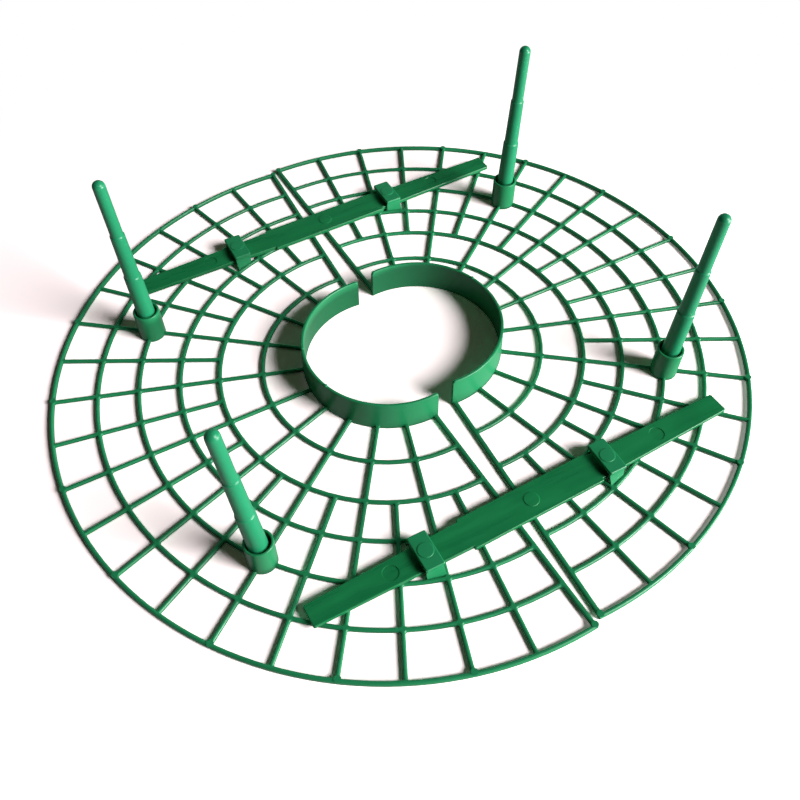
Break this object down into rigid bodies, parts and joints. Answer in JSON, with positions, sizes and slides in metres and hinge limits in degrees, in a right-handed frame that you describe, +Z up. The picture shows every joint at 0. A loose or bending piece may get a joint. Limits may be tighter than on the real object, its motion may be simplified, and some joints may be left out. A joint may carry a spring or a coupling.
{
  "type": "strawberry plant support",
  "caption": "Round plant support of two half ring grids with a collar round the plant, tied by flat bars in loops, with stepped legs standing in sockets.",
  "frame": {"origin": "centre of the whole outline, on the surface that the grid lies on", "axes": "+Z up along the legs, +X across the seam from the left half to the right half, along the joining bars, +Y along the seam towards the back"},
  "size_m": [0.3164, 0.3022, 0.0869],
  "materials": {
    "grid_plastic": "green moulded plastic, satin gloss",
    "bar_plastic": "green moulded plastic, satin, with faint flow lines along the bar",
    "leg_plastic": "green moulded plastic, satin gloss"
  },
  "bodies": {
    "half_left": {"grid_half_left": "grid_plastic"},
    "half_right": {"grid_half_right": "grid_plastic"},
    "bar_front": {"joining_bar_front": "bar_plastic"},
    "bar_back": {"joining_bar_back": "bar_plastic"},
    "leg_back_left": {"leg_back_left": "leg_plastic"},
    "leg_back_right": {"leg_back_right": "leg_plastic"},
    "leg_front_left": {"leg_front_left": "leg_plastic"},
    "leg_front_right": {"leg_front_right": "leg_plastic"}
  },
  "joints": [
    {"name": "half_right_slide", "type": "slide", "parent": "half_left", "child": "half_right", "axis": [0.9996, 0.0268, 0], "range_m": [-0.001, 0.075]},
    {"name": "bar_front_slide", "type": "slide", "parent": "half_left", "child": "bar_front", "axis": [0.9996, 0.0268, 0], "range_m": [-0.0135, 0.0005]},
    {"name": "bar_back_slide", "type": "slide", "parent": "half_left", "child": "bar_back", "axis": [0.9996, 0.0268, 0], "range_m": [-0.0135, 0.0005]},
    {"name": "leg_back_left_pull", "type": "slide", "parent": "half_left", "child": "leg_back_left", "axis": [-0.0175, 0.0052, 0.9998], "range_m": [0, 0.03]},
    {"name": "leg_front_left_pull", "type": "slide", "parent": "half_left", "child": "leg_front_left", "axis": [-0.0576, 0.0017, 0.9983], "range_m": [0, 0.03]},
    {"name": "leg_back_right_pull", "type": "slide", "parent": "half_right", "child": "leg_back_right", "axis": [0.0558, 0.0192, 0.9983], "range_m": [0, 0.03]},
    {"name": "leg_front_right_pull", "type": "slide", "parent": "half_right", "child": "leg_front_right", "axis": [0.0506, 0.0105, 0.9987], "range_m": [0, 0.03]}
  ]
}
